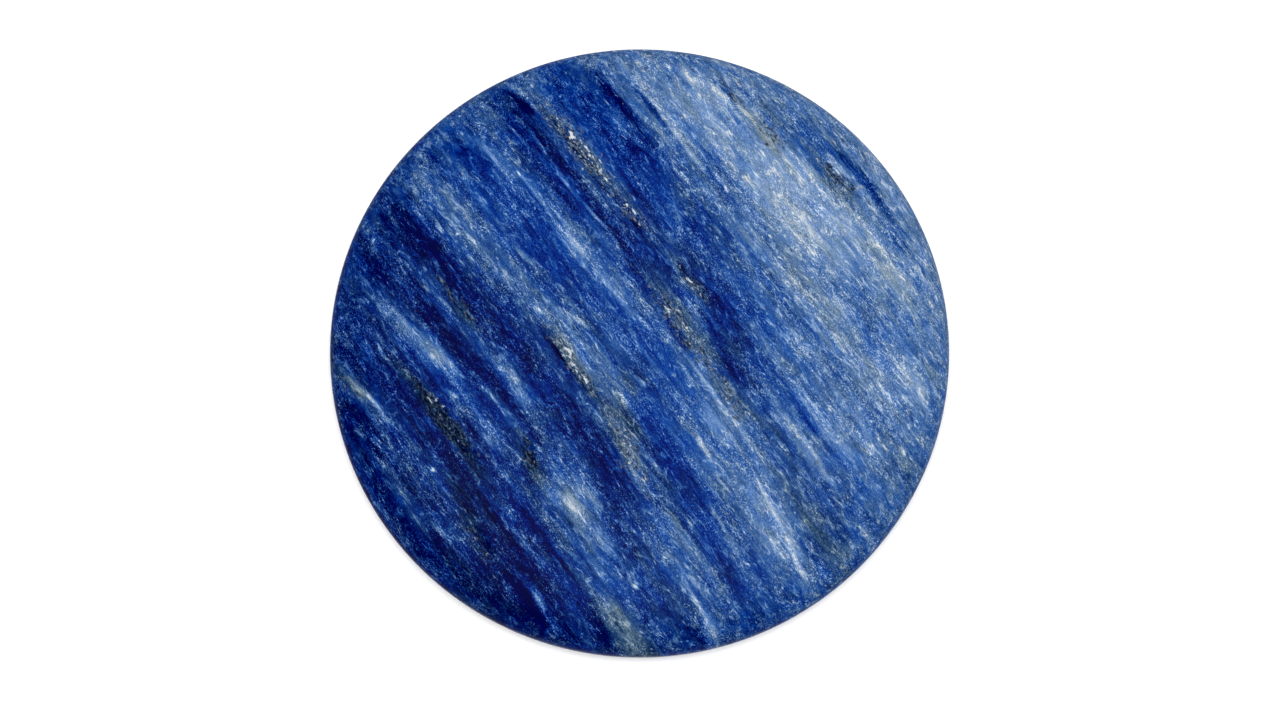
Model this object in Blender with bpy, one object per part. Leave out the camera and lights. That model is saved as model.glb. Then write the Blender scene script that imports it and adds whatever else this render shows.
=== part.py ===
"""A round polished disc of kyanite, lying on its flat back.

Metres, +Z up. The origin is the middle of the flat back. The stone is one piece: a turned disc with
a low domed face, a rounded girdle and a flat back. A few soft seams of the rock, which took no
polish, lie a little under the face and run along its grain.
"""

import math

import bmesh
import bpy
from mathutils import Vector, noise

MM = 0.001

# Driving dimensions of the disc
DIAMETER = 90 * MM
THICKNESS = 10 * MM
GIRDLE_HEIGHT = 3.5 * MM
BACK_DIAMETER = 84 * MM
CROWN_POWER = 3.0

# Fineness of the turned surface
SEGMENTS = 128
CROWN_STEPS = 18
UNDER_STEPS = 6
WELD = 0.001 * MM
SMOOTH_ANGLE = math.radians(40)

# The grain runs from the far left to the near right, this far below +X as seen from above.
GRAIN_ANGLE = math.radians(53)

# Soft seams that lie a little under the polish. For each one: its middle, as millimetres along the
# grain and across it from the middle of the disc, then its length, width and depth in millimetres,
# then its turn away from the grain in degrees.
SEAMS = {
    "far_rim_crust": (-1.8, 38.2, 9.0, 1.6, 0.30, 9),
    "far_tan_crust": (-13.3, 33.9, 8.0, 2.2, 0.35, -2),
    "far_dark_line": (-22.6, 33.8, 8.0, 1.0, 0.25, -3),
    "tan_seam": (-28.1, 10.6, 20.0, 2.3, 0.40, 1),
    "tan_seam_tail": (-14.9, 10.4, 7.5, 1.4, 0.30, 8),
    "cream_grains": (-1.4, 11.0, 9.0, 1.2, 0.30, -1),
    "grey_seam": (2.0, 5.8, 19.0, 1.8, 0.30, -2),
    "grey_seam_end": (14.3, 5.2, 10.0, 1.8, 0.30, -8),
    "middle_seam": (-2.9, -9.6, 15.0, 1.5, 0.35, -3),
    "middle_seam_end": (10.9, -10.7, 16.0, 2.4, 0.35, -11),
    "left_crust": (-20.3, -17.4, 12.0, 0.9, 0.25, 1),
    "black_notch": (4.3, -22.7, 6.0, 1.7, 0.45, -22),
    "black_crust": (-7.4, -29.1, 17.0, 2.0, 0.45, 1),
    "ringed_patch": (-19.1, -35.8, 7.0, 1.5, 0.30, 4),
    "near_seam": (9.2, -35.3, 9.0, 1.3, 0.30, -3),
}

# Each seam's cutter is a spindle: rings along the seam, closed by a point at both ends.
RINGS = 9
RING_SIDES = 8
RING_TOP = 0.6 * MM

# How unevenly a seam widens, deepens and wanders, as shares of its own width and depth, and how
# many times that changes along it.
UNEVEN_WIDTH = 0.3
UNEVEN_DEPTH = 0.3
WANDER = 0.2
CHANGES = 2.6

KYANITE_BLUE = (0.035, 0.095, 0.30, 1.0)
KYANITE_ROUGHNESS = 0.3


def crown_height(radius):
    """Height of the domed face above the back, at this distance from the middle."""
    share = min(radius / (DIAMETER / 2), 1.0)
    rise = (1 - share**CROWN_POWER) ** (1 / CROWN_POWER)
    return GIRDLE_HEIGHT + (THICKNESS - GIRDLE_HEIGHT) * rise


def disc_profile():
    """Points (radius, height) from the middle of the face, over the girdle, to the middle of the back."""
    points = []
    for step in range(CROWN_STEPS + 1):
        turn = math.radians(90) * step / CROWN_STEPS
        radius = DIAMETER / 2 * math.sin(turn) ** (2 / CROWN_POWER)
        points.append((radius, crown_height(radius)))
    tuck = (DIAMETER - BACK_DIAMETER) / 2
    for step in range(1, UNDER_STEPS + 1):
        turn = math.radians(90) * step / UNDER_STEPS
        radius = DIAMETER / 2 - tuck * (1 - math.cos(turn))
        points.append((radius, GIRDLE_HEIGHT * (1 - math.sin(turn))))
    points.append((0.0, 0.0))
    return points


def polished_stone_material():
    """Blue polished stone."""
    material = bpy.data.materials.new("kyanite")
    material.use_nodes = True
    shader = material.node_tree.nodes["Principled BSDF"]
    shader.inputs["Base Color"].default_value = KYANITE_BLUE
    shader.inputs["Roughness"].default_value = KYANITE_ROUGHNESS
    shader.inputs["Metallic"].default_value = 0.0
    return material


def add_object(name, bm):
    """A new object in the scene from a bmesh, which it frees."""
    mesh = bpy.data.meshes.new(name)
    bm.to_mesh(mesh)
    bm.free()
    obj = bpy.data.objects.new(name, mesh)
    bpy.context.scene.collection.objects.link(obj)
    return obj


def turned_disc():
    """The disc, turned from its profile about the vertical axis."""
    bm = bmesh.new()
    line = [bm.verts.new((radius, 0, height)) for radius, height in disc_profile()]
    edges = [bm.edges.new(pair) for pair in zip(line, line[1:])]
    bmesh.ops.spin(
        bm,
        geom=line + edges,
        cent=(0, 0, 0),
        axis=(0, 0, 1),
        angle=math.tau,
        steps=SEGMENTS,
        use_merge=True,
    )
    bmesh.ops.remove_doubles(bm, verts=bm.verts, dist=WELD)
    bmesh.ops.recalc_face_normals(bm, faces=bm.faces)
    disc = add_object("kyanite_disc", bm)
    disc.data.shade_smooth()
    disc.data.set_sharp_from_angle(angle=SMOOTH_ANGLE)
    disc.data.materials.append(polished_stone_material())
    return disc


def on_face(along, across, lift):
    """The point at these distances along and across the grain, lifted this far off the domed face."""
    x = along * math.cos(GRAIN_ANGLE) + across * math.sin(GRAIN_ANGLE)
    y = across * math.cos(GRAIN_ANGLE) - along * math.sin(GRAIN_ANGLE)
    return Vector((x, y, crown_height(math.hypot(x, y)) + lift))


def unevenness(row, place):
    """A smooth number from about -1 to 1 that changes along a seam. Each row of them is different."""
    return noise.noise(Vector((place * CHANGES / 2, 7.3 * row, 0.5))) * 1.6


def seam_ring(place, row, along, across, length, width, depth, turn):
    """The cutter's ring at this place on the seam, from -1 at one end to 1 at the other."""
    taper = math.sqrt(1 - place**2)
    half_width = width / 2 * taper * (1 + UNEVEN_WIDTH * unevenness(row, place))
    sunk = depth * taper * (1 + UNEVEN_DEPTH * unevenness(row + 0.3, place))
    drift = width * WANDER * unevenness(row + 0.6, place) * taper
    points = []
    for side in range(RING_SIDES):
        angle = math.tau * side / RING_SIDES
        forward = place * length / 2
        sideways = drift + half_width * math.cos(angle)
        lift = math.sin(angle) * (RING_TOP if math.sin(angle) > 0 else sunk)
        points.append(
            on_face(
                along + forward * math.cos(turn) - sideways * math.sin(turn),
                across + forward * math.sin(turn) + sideways * math.cos(turn),
                lift,
            )
        )
    return points


def seam_cutter(name, row, sizes):
    """An uneven spindle that follows the domed face and cuts one seam to its depth."""
    along, across, length, width, depth = [size * MM for size in sizes[:5]]
    turn = math.radians(sizes[5])
    bm = bmesh.new()
    rings = []
    for ring in range(RINGS):
        place = -math.cos(math.pi * (ring + 1) / (RINGS + 1))
        corners = seam_ring(place, row, along, across, length, width, depth, turn)
        rings.append([bm.verts.new(corner) for corner in corners])
    for near, far in zip(rings, rings[1:]):
        for side in range(RING_SIDES):
            after = (side + 1) % RING_SIDES
            bm.faces.new((near[side], near[after], far[after], far[side]))
    for ring, end in ((rings[0], -1), (rings[-1], 1)):
        forward = end * length / 2
        tip = bm.verts.new(
            on_face(
                along + forward * math.cos(turn), across + forward * math.sin(turn), 0
            )
        )
        for side in range(RING_SIDES):
            bm.faces.new((ring[side], ring[(side + 1) % RING_SIDES], tip))
    bmesh.ops.recalc_face_normals(bm, faces=bm.faces)
    cutter = add_object(f"cut_{name}", bm)
    cutter.hide_render = True
    cutter.display_type = "WIRE"
    return cutter


def sink_seams(disc):
    """Cuts every soft seam into the disc's face."""
    for row, (name, sizes) in enumerate(SEAMS.items(), start=1):
        cut = disc.modifiers.new(name, "BOOLEAN")
        cut.operation = "DIFFERENCE"
        cut.object = seam_cutter(name, row, sizes)


def main():
    for old in list(bpy.data.objects):
        bpy.data.objects.remove(old)
    sink_seams(turned_disc())


main()
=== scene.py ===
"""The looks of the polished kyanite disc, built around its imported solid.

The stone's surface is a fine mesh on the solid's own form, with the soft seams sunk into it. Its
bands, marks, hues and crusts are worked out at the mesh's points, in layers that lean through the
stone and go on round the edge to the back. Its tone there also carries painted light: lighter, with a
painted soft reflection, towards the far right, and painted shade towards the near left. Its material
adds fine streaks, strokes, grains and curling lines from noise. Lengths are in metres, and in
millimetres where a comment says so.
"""

import math

import bpy
import numpy as np
from mathutils import Euler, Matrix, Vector, noise


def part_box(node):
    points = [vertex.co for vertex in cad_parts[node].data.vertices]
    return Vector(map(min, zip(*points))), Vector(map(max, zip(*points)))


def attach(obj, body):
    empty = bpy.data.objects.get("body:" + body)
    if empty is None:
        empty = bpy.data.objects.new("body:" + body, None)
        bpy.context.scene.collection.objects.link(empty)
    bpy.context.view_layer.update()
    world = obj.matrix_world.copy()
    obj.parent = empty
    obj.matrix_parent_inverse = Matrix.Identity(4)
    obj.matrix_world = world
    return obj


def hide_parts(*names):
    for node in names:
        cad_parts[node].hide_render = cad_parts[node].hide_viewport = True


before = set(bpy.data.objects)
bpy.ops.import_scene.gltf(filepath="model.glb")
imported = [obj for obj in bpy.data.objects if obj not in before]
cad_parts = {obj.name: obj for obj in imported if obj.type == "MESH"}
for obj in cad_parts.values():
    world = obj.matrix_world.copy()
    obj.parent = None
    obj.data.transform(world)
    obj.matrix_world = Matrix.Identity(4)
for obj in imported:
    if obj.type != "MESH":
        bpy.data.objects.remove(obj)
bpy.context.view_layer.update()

MM = 0.001
STONE = "kyanite_disc"

# The disc's form, as shares of its box and in the same terms as its solid
low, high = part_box(STONE)
RADIUS = (high.x - low.x) / 2
THICKNESS = high.z - low.z
GIRDLE_SHARE = 0.35
BACK_SHARE = 84 / 90
CROWN_POWER = 3.0

# The grain runs from the far left to the near right, this far below +X as seen from above.
GRAIN_ANGLE = math.radians(53)

# The layers lean over by this much through the stone's thickness.
DIP = math.radians(14)

# Soft seams under the polish: the middle of each as millimetres along and across the grain, then
# length, width and depth in millimetres, then the turn away from the grain in degrees.
SEAMS = {
    "far_rim_crust": (-1.8, 38.2, 9.0, 1.6, 0.30, 9),
    "far_tan_crust": (-13.3, 33.9, 8.0, 2.2, 0.35, -2),
    "far_dark_line": (-22.6, 33.8, 8.0, 1.0, 0.25, -3),
    "tan_seam": (-28.1, 10.6, 20.0, 2.3, 0.40, 1),
    "tan_seam_tail": (-14.9, 10.4, 7.5, 1.4, 0.30, 8),
    "cream_grains": (-1.4, 11.0, 9.0, 1.2, 0.30, -1),
    "grey_seam": (2.0, 5.8, 19.0, 1.8, 0.30, -2),
    "grey_seam_end": (14.3, 5.2, 10.0, 1.8, 0.30, -8),
    "middle_seam": (-2.9, -9.6, 15.0, 1.5, 0.35, -3),
    "middle_seam_end": (10.9, -10.7, 16.0, 2.4, 0.35, -11),
    "left_crust": (-20.3, -17.4, 12.0, 0.9, 0.25, 1),
    "black_notch": (4.3, -22.7, 6.0, 1.7, 0.45, -22),
    "black_crust": (-7.4, -29.1, 17.0, 2.0, 0.45, 1),
    "ringed_patch": (-19.1, -35.8, 7.0, 1.5, 0.30, 4),
    "near_seam": (9.2, -35.3, 9.0, 1.3, 0.30, -3),
}

# How unevenly a seam widens, deepens and wanders, as shares of its own width and depth, and how
# many times that changes along it
UNEVEN_WIDTH = 0.3
UNEVEN_DEPTH = 0.3
WANDER = 0.2
CHANGES = 2.6

# Where that unevenness lies in its noise, and how much the noise is raised to run from -1 to 1
ROW_STEP = 7.3
DEPTH_ROW = 0.3
WANDER_ROW = 0.6
UNEVEN_LEVEL = 0.5
UNEVEN_GAIN = 1.6

# Lumps inside a seam: how many there are in a millimetre along and across the grain, how much they
# change the depth, and their noise's fall-off, its step between sizes and its number of sizes
LUMPS_ALONG = 1.3
LUMPS_ACROSS = 2.2
LUMPS_SHARE = 0.35
LUMPS_FRACTAL = (1.0, 2.0, 3)

# Fine grooves in the polish, in millimetres, and the level of their noise
GROOVE_DEPTH = 0.03
GROOVE_LENGTH = 9.0
GROOVE_WIDTH = 0.9
GROOVE_LEVEL = 3.1

# Fineness of the stone's mesh: cells along and across the grain, and rings under the girdle. The back
# has half as many cells each way, and stops this share of a cell inside the edge's last ring.
CELLS_ALONG = 184
CELLS_ACROSS = 376
UNDER_RINGS = 8
BACK_GAP = 0.5

# Steps in which the face's curve is measured, and in which its rings are looked up
CURVE_STEPS = 4000
RING_STEPS = 2000

# The face has its relief up to this share of the radius, so that the girdle stays even.
RELIEF_SHARE = 0.995

# Tones and the parts of a colour run from 0, black, to this, white.
WHITE = 255

# Bands and marks are placed as the photo shows them. Seen from its angle, a place on the domed face
# shows this far off, in millimetres along and across the grain, and this much larger.
SEEN_SHIFT = (-1.35, 1.1)
SEEN_SCALE = 1.009

# The noise that pushes bands and marks starts from this seed, so that each run gives the same stone.
SEED = 5

# How bands and marks waver: length and width in millimetres of the noise that pushes them, then how
# far it pushes along and across. Bands drift as well as ripple.
RIPPLE = (3.0, 1.0, 0.6, 0.26)
DRIFT = (10.0, 3.5, 1.8, 0.45)

# Light and dark bands and clouds of the stone. For each one: its middle along and across the grain,
# half its length and half its width, all in millimetres, its turn in degrees, and how many tones
# lighter or darker it is.
PALE_BANDS = (
    (1.5, 41.5, 3.5, 0.8, 0, 30),
    (0, 41.2, 4, 0.9, 0, 24),
    (-5, 40.9, 3.5, 0.9, 0, 20),
    (-4.5, 40.8, 4, 0.8, 0, 20),
    (-6, 40.3, 3, 0.9, 0, 16),
    (14, 37.7, 3.5, 1.4, 0, 20),
    (-9.5, 37, 5, 1.3, 0, 16),
    (5, 37, 12, 3.5, -3, 28),
    (-5, 36.9, 6, 1.3, 0, 22),
    (14, 36, 6, 4, 0, 22),
    (-8, 35.8, 7, 1.6, 0, 20),
    (-15, 34.7, 4, 1.1, 0, 34),
    (-24, 33.8, 9, 1.3, 8, 12),
    (-23, 33.4, 4, 0.9, 0, 40),
    (-24, 33.3, 4, 1.1, 0, 30),
    (-27, 33, 2, 1, 0, 18),
    (-25, 32, 8, 2.2, 4, 16),
    (-4, 32, 22, 6.5, 2, 45),
    (-28.5, 31.8, 2.5, 1, 0, 20),
    (-29, 31.5, 3, 1, 0, 18),
    (16, 31.5, 6, 2.5, 0, 14),
    (-1, 31, 5, 1.3, 0, 18),
    (26.5, 30.9, 5, 1.2, 0, 22),
    (29, 30.3, 3, 1, 0, 16),
    (-26, 29, 14, 4.5, 3, 30),
    (26, 29, 10, 3, -8, 36),
    (-4, 28.7, 15, 2.6, 0, 10),
    (12, 27.8, 3, 1.2, 0, 16),
    (-17, 27.6, 12, 1.6, 0, 14),
    (11, 27.2, 10, 1.8, 0, 16),
    (9, 25.5, 16, 3, 0, 25),
    (27, 25.4, 11, 1.5, 0, 26),
    (-33, 25, 6, 1.2, 0, 18),
    (-23, 25, 13, 1.4, -3, 22),
    (24, 24, 15, 1.5, 0, 18),
    (4, 23.5, 19, 1.4, 0, 24),
    (34, 21.5, 8, 1.3, 10, 16),
    (14, 19.5, 8, 1.5, 8, 16),
    (-30.5, 19.3, 5, 1, 0, 16),
    (5, 19, 4, 1.1, 0, 18),
    (-28, 18.6, 3.5, 0.9, 0, 18),
    (-29, 18.5, 4, 0.9, 0, 18),
    (28, 17, 15, 5, 0, 26),
    (26, 14.8, 6, 1.1, 0, 16),
    (26, 11.2, 5, 1, 0, 20),
    (7, 11, 4, 1.2, 0, 12),
    (24, 11, 12, 2.4, 0, 24),
    (41, 11, 3, 0.9, 0, 18),
    (41, 7, 3, 9, 0, 14),
    (15, 5, 18, 1.7, 0, 18),
    (-22, 3, 14, 1.2, 0, 12),
    (-14, 2.8, 14, 2.2, 0, 22),
    (-6, 2.8, 4, 1.2, 0, 20),
    (15, 2.5, 5, 2, 0, 18),
    (22, 2.5, 18, 4, -6, 35),
    (-19, 2.2, 7, 1.3, 0, 24),
    (16, 1.9, 5, 1, 0, 20),
    (-36, 1, 6, 1.3, 0, 28),
    (34, 0.5, 12, 2.4, -9, 40),
    (40, 0.5, 7, 1.8, 0, 16),
    (15, -1, 6, 1.0, 0, 16),
    (33, -1.1, 4, 0.8, 0, 20),
    (24, -1.2, 16, 1.9, 0, 28),
    (35, -2, 7, 1.6, 0, 16),
    (-26, -2.5, 5, 1.2, 0, 18),
    (20, -3.4, 6, 1.4, 0, 18),
    (31, -3.5, 12, 3.5, 0, 22),
    (43, -4, 2.5, 2, 0, 12),
    (4, -4.2, 6, 1.1, 0, 14),
    (30, -5.9, 4, 0.9, 0, 22),
    (-6, -6, 14, 2.6, 0, 28),
    (32, -6.2, 8, 1.2, 0, 18),
    (2.5, -6.4, 7, 1.7, 10, 16),
    (-26, -6.7, 8, 1.3, 0, 16),
    (3, -6.8, 3, 0.8, 0, 16),
    (-36, -7.4, 8, 0.9, 0, 12),
    (-6, -7.7, 9, 1.7, 0, 20),
    (-15, -7.8, 12, 1.9, 0, 20),
    (-20, -8.7, 11, 1.5, 4, 20),
    (-32, -8.8, 18, 3.2, 0, 24),
    (11, -9.8, 11, 1.5, -13, 32),
    (-39, -11, 5, 1, 0, 14),
    (25, -11.3, 7, 1.4, 0, 24),
    (-31.5, -11.8, 5, 1, 0, 20),
    (23, -12.3, 5, 1.1, 0, 16),
    (30, -13.3, 14, 4.5, -2, 32),
    (36, -14.6, 9, 0.9, 0, 14),
    (38.6, -14.8, 3, 0.7, 0, 40),
    (36, -16, 9, 1.7, 4, 28),
    (-9, -17, 9, 2.0, 4, 22),
    (-5.5, -17.5, 7, 1.3, 0, 30),
    (-6, -17.6, 4, 1, 0, 18),
    (13, -18.3, 5, 1.1, 0, 34),
    (13, -18.5, 7, 1.2, 0, 16),
    (19.3, -20.3, 4, 1.2, 0, 37),
    (-34, -20.4, 7, 0.8, 0, 14),
    (12, -20.5, 11, 4.2, -6, 46),
    (10, -22, 7.5, 1.7, 4, 34),
    (24, -22.5, 14, 3.5, -2, 20),
    (-16, -22.8, 5, 0.9, 3, 20),
    (-18, -22.9, 6, 1.1, 0, 16),
    (21, -23, 5, 1.2, 0, 16),
    (0, -23.2, 6, 1, 0, 14),
    (-15.5, -23.7, 8, 1.6, 0, 28),
    (-22, -24, 12, 2.2, 3, 34),
    (-23, -24.2, 6, 1.2, 0, 20),
    (-2.5, -24.2, 5, 1.3, 0, 16),
    (14, -24.3, 7, 1.4, 0, 18),
    (-1, -24.4, 3, 0.9, 0, 20),
    (32, -24.4, 6, 1.1, 0, 20),
    (-6, -24.6, 8, 1.8, 2, 24),
    (33, -24.9, 5, 0.7, 0, 20),
    (-25, -25.3, 12, 1.6, 2, 20),
    (30, -25.3, 11, 2.5, 0, 25),
    (-18, -25.4, 4, 0.8, 0, 18),
    (20, -25.6, 12, 1.2, 0, 14),
    (28, -26, 9, 1.4, 0, 24),
    (12, -29.6, 11, 1, 0, 16),
    (19, -32.4, 4, 0.8, 0, 18),
    (20, -32.8, 8, 1.3, 0, 24),
    (-8, -33.8, 3, 1.1, 0, 18),
    (-8, -33.9, 8, 1, 0, 16),
    (-18.5, -34.5, 5, 1, 0, 20),
    (-17, -34.6, 5, 0.9, 0, 20),
    (-21, -34.9, 5, 0.9, 0, 18),
    (-17.5, -35.2, 6, 1.5, 0, 24),
    (-20, -35.3, 10, 2.2, 4, 28),
    (-6, -36, 10, 2.5, 0, 18),
    (5, -36.8, 7, 1.9, 16, 20),
    (-5, -38.5, 7, 1, 0, 12),
    (0, -38.8, 8, 1.8, 4, 14),
)
DARK_BANDS = (
    (0.5, 42.9, 5, 0.8, 0, -22),
    (0, 42.6, 9, 0.9, 0, -30),
    (1, 42.6, 4, 0.7, 0, -20),
    (-6, 42.4, 4, 0.7, 0, -20),
    (2, 42.3, 13, 1.4, 0, -16),
    (-6, 42, 5, 1, 0, -22),
    (-10, 41.5, 14, 3, 0, -22),
    (9, 41, 6, 1, 0, -16),
    (10.5, 41, 3, 0.8, 0, -22),
    (0, 39, 6, 1.8, 0, -18),
    (-9, 38.6, 14, 2.0, 0, -26),
    (-19, 37.6, 4, 0.9, 0, -14),
    (8, 37.3, 3.5, 1.2, 0, -18),
    (14, 31, 7, 2.0, -4, -25),
    (29, 28, 8, 1.1, 0, -14),
    (5, 27, 8, 1, 0, -12),
    (-12, 24.2, 8, 1.0, 0, -15),
    (-30, 23.9, 3.5, 0.9, 0, -20),
    (-26.5, 23.9, 7.6, 0.8, 0, -38),
    (-17.5, 23, 7, 1.1, 0, -18),
    (-35.7, 21, 4.1, 1.2, 0, -43),
    (-32, 21, 8, 1, 0, -24),
    (-16, 20.8, 22, 1.8, 1, -16),
    (-34, 20.4, 9, 1.6, 0, -20),
    (-30, 20.2, 10, 1.2, 0, -26),
    (-7, 19.4, 9, 3, 0, -26),
    (-22, 18.5, 3, 1.6, 0, -16),
    (-10.5, 17.8, 4.5, 1.2, 0, -16),
    (-28, 17.5, 26, 5.0, 0, -42),
    (-8, 17.3, 12, 1.2, 0, -18),
    (5, 16.8, 9, 1.4, 0, -20),
    (-2, 14.5, 14, 3, -3, -38),
    (-34, 14, 10, 1.7, 0, -26),
    (-22, 13.5, 8, 1.6, 0, -14),
    (15, 13.5, 8, 2.2, 0, -18),
    (-14, 13.2, 11, 2.4, 0, -26),
    (-3, 13, 7, 1.8, 0, -22),
    (40, 12.5, 5, 0.9, 0, -14),
    (-11, 11.8, 12, 1.2, 5, -14),
    (7, 11.7, 10, 3.8, 0, -38),
    (-32, 11.4, 5, 1.2, 0, -22),
    (-17, 11.4, 6, 1.4, 0, -26),
    (-29, 11.2, 8, 1.2, 0, -36),
    (-12, 10.6, 12, 1.2, 0, -12),
    (14, 10.4, 5, 1, 0, -14),
    (-35, 10.3, 6, 1.2, 0, -14),
    (-12, 9.5, 14, 3, 0, -28),
    (-41, 9.45, 4, 0.9, 0, -48),
    (24, 9.4, 5, 1, 0, -14),
    (-39, 9.3, 5, 1, 0, -22),
    (-41, 9.25, 4, 1.2, 0, -58),
    (9.5, 9, 5, 1.7, 0, -18),
    (13, 8.7, 10, 1.3, 0, -18),
    (-30, 8.5, 18, 2.4, 0, -30),
    (-30, 8.3, 8, 1, 0, -22),
    (33, 8, 15, 3.0, 0, -8),
    (-17, 7.8, 8, 1.1, 0, -14),
    (-20, 7.6, 8, 1.5, 0, -22),
    (-1, 7.5, 7, 1.6, 0, -18),
    (-31.5, 7.4, 5, 1.1, 0, -16),
    (-39, 7.2, 9, 2.4, 0, -32),
    (-11, 6.8, 8, 1.4, -8, -18),
    (-6.5, 6.4, 7, 1.5, 0, -22),
    (1, 6, 6, 1, 0, -16),
    (-32, 5.8, 14, 1.8, 0, -28),
    (0.8, 5.7, 4.7, 1, 0, -37),
    (-20, 5.5, 12, 1.5, 0, -26),
    (-32, 4, 8, 1.3, 0, -18),
    (40, 3.8, 6, 1.1, 0, -14),
    (-26, 0.3, 6, 1, 0, -12),
    (-37, -0.5, 3, 1.3, 0, -20),
    (-18, -1.5, 14, 1.9, 7, -22),
    (-38, -1.8, 8, 1.5, 0, -22),
    (4, -1.9, 4, 1, 0, -18),
    (4, -2, 11, 1, 0, -12),
    (-22, -2.5, 22, 2.2, 0, -14),
    (15, -5.8, 11, 2.3, -2, -30),
    (22, -8, 7, 1.4, 0, -16),
    (34, -8.5, 14, 2.0, -2, -14),
    (-5, -9.8, 9, 0.9, 0, -18),
    (-24, -10, 5, 0.9, 0, -14),
    (-19, -11.1, 5, 1, 0, -20),
    (1.5, -11.7, 7, 1.2, 0, -16),
    (30, -12, 6, 1.3, 0, -12),
    (-8, -12.8, 24, 2.4, 0, -20),
    (12.5, -12.9, 12, 1.7, -11, -26),
    (-24, -13.3, 9, 1.5, 0, -14),
    (-15, -14.1, 5, 1.1, 0, -18),
    (8, -14.2, 14, 2.4, -8, -24),
    (-35.5, -14.5, 5, 1.2, 0, -22),
    (-14, -14.6, 17, 1.9, 0, -28),
    (-28, -15, 8, 1.2, 0, -12),
    (2, -15, 10, 1.1, 0, -18),
    (-30, -15.5, 18, 2.8, -1, -38),
    (33, -15.7, 4, 0.9, 0, -22),
    (33, -16.2, 5, 1.3, 0, -18),
    (38.5, -16.8, 3, 0.9, 0, -20),
    (-37, -17.3, 6, 1.5, 0, -16),
    (37.5, -17.4, 4, 1.2, 0, -18),
    (-10, -19, 6, 0.9, 0, -12),
    (-26, -19.7, 5, 1.1, 0, -14),
    (-20, -20, 24, 1.8, 2, -18),
    (-18, -21, 21, 1.5, 6, -30),
    (30, -21.5, 5, 1.2, 0, -10),
    (-33.7, -22, 4.5, 1.2, 0, -41),
    (14, -22.4, 4, 1, 0, -20),
    (-32, -22.5, 7, 1.4, 0, -18),
    (4, -23.7, 4, 1, 0, -10),
    (-5, -25.9, 4, 1.1, 0, -18),
    (-7, -26.3, 7, 1.1, 0, -14),
    (11.5, -27.3, 9, 1.4, 0, -20),
    (28, -27.7, 6, 1.4, 0, -45),
    (-29, -28.8, 4, 1.3, 0, -16),
    (8, -30.3, 4, 1.1, 0, -20),
    (0, -30.5, 26, 3, 0, -12),
    (14, -30.8, 12, 1.2, 0, -26),
    (-20, -32.5, 10, 1, 0, -8),
    (18, -32.5, 14, 4, 0, -18),
    (-25, -32.8, 4, 1.1, 0, -18),
    (5, -33, 10, 1.2, -3, -10),
    (20.5, -33.5, 5, 1.2, 0, -24),
    (19, -33.9, 6.3, 0.95, 0, -44),
    (20, -34, 5, 0.9, 0, -24),
    (20, -34.2, 7, 1.2, 0, -26),
    (14, -36, 12, 4, 0, -14),
    (-17, -37, 5, 1.2, 0, -22),
    (-19, -37.6, 4, 1.1, 0, -28),
    (4.5, -38.8, 3.7, 1.1, 0, -42),
)
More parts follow.
